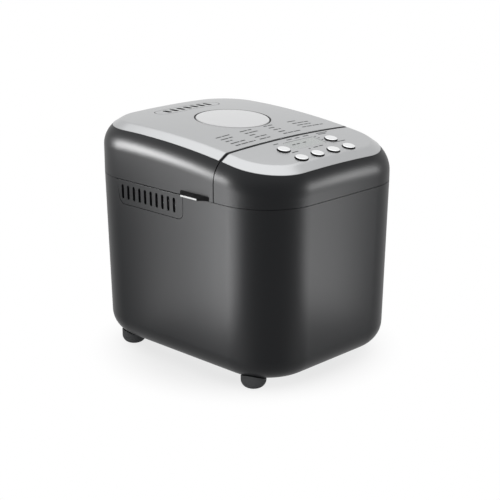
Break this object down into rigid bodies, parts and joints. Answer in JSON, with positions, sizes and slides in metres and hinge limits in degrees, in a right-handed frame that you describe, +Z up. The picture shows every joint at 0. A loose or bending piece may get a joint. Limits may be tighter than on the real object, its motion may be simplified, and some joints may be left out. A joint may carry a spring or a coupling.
{
  "type": "bread machine",
  "caption": "Bread machine with a tapered graphite tub, hinged lid with a silver plate and round window, control panel, and an oven with a removable pan and belt-driven paddle",
  "frame": {"origin": "centre of the machine's outline on the surface it stands on, under its feet", "axes": "+Z up, -Y out of the front with the control panel, +X to the user's right"},
  "size_m": [0.275, 0.326, 0.2983],
  "materials": {
    "graphite_shell": "satin graphite paint on moulded plastic",
    "silver_plate": "satin stainless sheet",
    "dark_trim": "dark moulded plastic",
    "feet_rubber": "moulded rubber",
    "chrome": "bright chrome plate",
    "window_frost": "frosted pale window",
    "window_frame": "dark moulded ring",
    "clear_glass": "clear heat resisting glass",
    "display_dark": "display window",
    "seal_rubber": "silicone",
    "zinc_steel": "zinc plated sheet steel",
    "steel_pin": "bright ground steel",
    "heater_steel": "dark tubular heater sheath",
    "pan_coat": "dark non-stick coat on aluminium",
    "bronze": "sintered bronze",
    "drive_metal": "cast aluminium",
    "belt_rubber": "ribbed drive belt",
    "motor_steel": "motor iron",
    "circuit_board": "green circuit board",
    "components": "black component cases"
  },
  "bodies": {
    "casing": {"outer_tub": "graphite_shell", "base_plate": "zinc_steel", "base_screws": "zinc_steel", "side_vent_left": "graphite_shell", "side_vent_right": "graphite_shell", "foot_front_left": "feet_rubber", "foot_front_right": "feet_rubber", "foot_rear_left": "feet_rubber", "foot_rear_right": "feet_rubber", "front_housing": "graphite_shell", "control_fascia": "silver_plate", "display_lens": "display_dark", "display_module": "display_dark", "control_board": "circuit_board", "tact_switches": "components", "deck": "dark_trim", "hinge_pin_left": "steel_pin", "hinge_pin_right": "steel_pin", "oven_chamber": "zinc_steel", "heating_element": "heater_steel", "temperature_sensor": "steel_pin", "pan_seat": "zinc_steel", "bearing_housing": "zinc_steel", "bearing_bush": "bronze", "drive_belt": "belt_rubber", "motor_bracket": "zinc_steel", "motor_stator": "motor_steel", "power_board": "circuit_board", "power_components": "components", "cord_inlet": "dark_trim"},
    "lid": {"lid_shell": "graphite_shell", "lid_plate": "silver_plate", "lid_liner": "dark_trim", "lid_screws": "zinc_steel", "lid_seal": "seal_rubber", "window_ring": "window_frame", "window_lens": "window_frost", "inner_glass": "clear_glass", "rear_vent_grille": "silver_plate", "lid_tab_left": "dark_trim", "lid_tab_right": "dark_trim"},
    "button_menu": {"button_menu": "chrome"},
    "button_start": {"button_start": "chrome"},
    "button_loaf": {"button_loaf": "chrome"},
    "button_colour": {"button_colour": "chrome"},
    "button_time_down": {"button_time_down": "chrome"},
    "button_time_up": {"button_time_up": "chrome"},
    "pan": {"bread_pan": "pan_coat", "pan_bush": "bronze"},
    "handle": {"pan_handle": "steel_pin"},
    "paddle": {"kneading_paddle": "pan_coat", "pan_shaft": "steel_pin"},
    "drive": {"drive_shaft": "steel_pin", "drive_coupling": "drive_metal", "driven_pulley": "drive_metal"},
    "rotor": {"motor_rotor": "motor_steel", "motor_pulley": "drive_metal"}
  },
  "joints": [
    {"name": "lid_hinge", "type": "hinge", "parent": "casing", "child": "lid", "pos_m": [0, 0.1595, 0.2295], "axis": [-1, 0, 0], "range_deg": [0, 85]},
    {"name": "pan_lift", "type": "slide", "parent": "casing", "child": "pan", "axis": [0, 0, 1], "range_m": [0, 0.05]},
    {"name": "handle_swing", "type": "hinge", "parent": "pan", "child": "handle", "pos_m": [0, 0.034, 0.188], "axis": [-1, 0, 0], "range_deg": [0, 180]},
    {"name": "paddle_spin", "type": "hinge", "parent": "pan", "child": "paddle", "pos_m": [0, 0.034, 0.09], "axis": [0, 0, 1], "continuous": true},
    {"name": "drive_spin", "type": "hinge", "parent": "casing", "child": "drive", "pos_m": [0, 0.034, 0.04], "axis": [0, 0, 1], "continuous": true},
    {"name": "rotor_spin", "type": "hinge", "parent": "casing", "child": "rotor", "pos_m": [0, -0.112, 0.06], "axis": [0, 0, 1], "continuous": true},
    {"name": "press_menu", "type": "slide", "parent": "casing", "child": "button_menu", "axis": [0, 0.1793, -0.9838], "range_m": [0, 0.0012], "stiffness_N_per_m": 400, "springref_m": -0.001},
    {"name": "press_start", "type": "slide", "parent": "casing", "child": "button_start", "axis": [0, 0.1793, -0.9838], "range_m": [0, 0.0012], "stiffness_N_per_m": 400, "springref_m": -0.001},
    {"name": "press_loaf", "type": "slide", "parent": "casing", "child": "button_loaf", "axis": [0, 0.1793, -0.9838], "range_m": [0, 0.0012], "stiffness_N_per_m": 400, "springref_m": -0.001},
    {"name": "press_colour", "type": "slide", "parent": "casing", "child": "button_colour", "axis": [0, 0.1793, -0.9838], "range_m": [0, 0.0012], "stiffness_N_per_m": 400, "springref_m": -0.001},
    {"name": "press_time_down", "type": "slide", "parent": "casing", "child": "button_time_down", "axis": [0, 0.1793, -0.9838], "range_m": [0, 0.0012], "stiffness_N_per_m": 400, "springref_m": -0.001},
    {"name": "press_time_up", "type": "slide", "parent": "casing", "child": "button_time_up", "axis": [0, 0.1793, -0.9838], "range_m": [0, 0.0012], "stiffness_N_per_m": 400, "springref_m": -0.001}
  ],
  "couplings": [
    {"joint": "paddle_spin", "follows": "drive_spin", "ratio": 1},
    {"joint": "rotor_spin", "follows": "drive_spin", "ratio": 4.6667}
  ]
}
